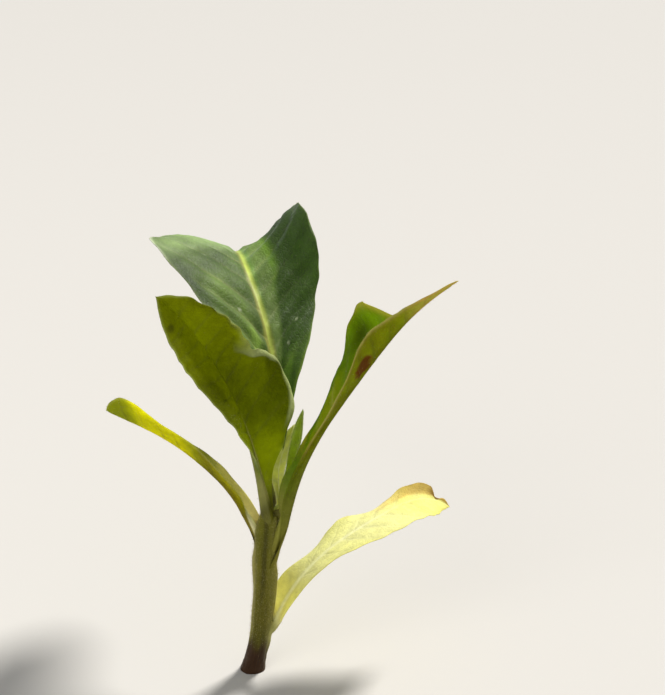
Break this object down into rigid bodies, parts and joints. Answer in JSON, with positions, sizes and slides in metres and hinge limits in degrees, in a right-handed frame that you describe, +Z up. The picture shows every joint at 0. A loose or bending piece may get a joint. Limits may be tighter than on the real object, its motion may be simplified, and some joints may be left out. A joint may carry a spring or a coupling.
{
  "type": "tobacco seedling",
  "caption": "Young leafy plant rooted in level ground: a leaning fleshy stem, clasping stalks, broad folded and arching leaves and a bud of small ones at the fork.",
  "frame": {"origin": "middle of the flat cut under the stem, at ground level", "axes": "+Z up along the plant's height, -Y towards the viewer of the picture, +X to the right"},
  "size_m": [0.0837, 0.0839, 0.1073],
  "materials": {
    "stem": "matte",
    "stalk_green": "matte",
    "stalk_yellow": "matte",
    "stalk_pale": "matte",
    "leaf_olive": "matte",
    "leaf_bluish": "satin",
    "leaf_yellow": "matte",
    "leaf_pale": "matte",
    "leaf_young": "matte"
  },
  "bodies": {
    "root": {"stem": "stem", "stalk_front": "stalk_green", "stalk_back": "stalk_green", "stalk_right": "stalk_green", "stalk_left": "stalk_yellow", "stalk_low": "stalk_pale", "blade_front": "leaf_olive", "blade_back": "leaf_bluish", "blade_back_tip": "leaf_bluish", "blade_left": "leaf_yellow", "blade_right": "leaf_olive", "blade_low": "leaf_pale", "bud_a": "leaf_young", "bud_b": "leaf_young"}
  },
  "joints": []
}
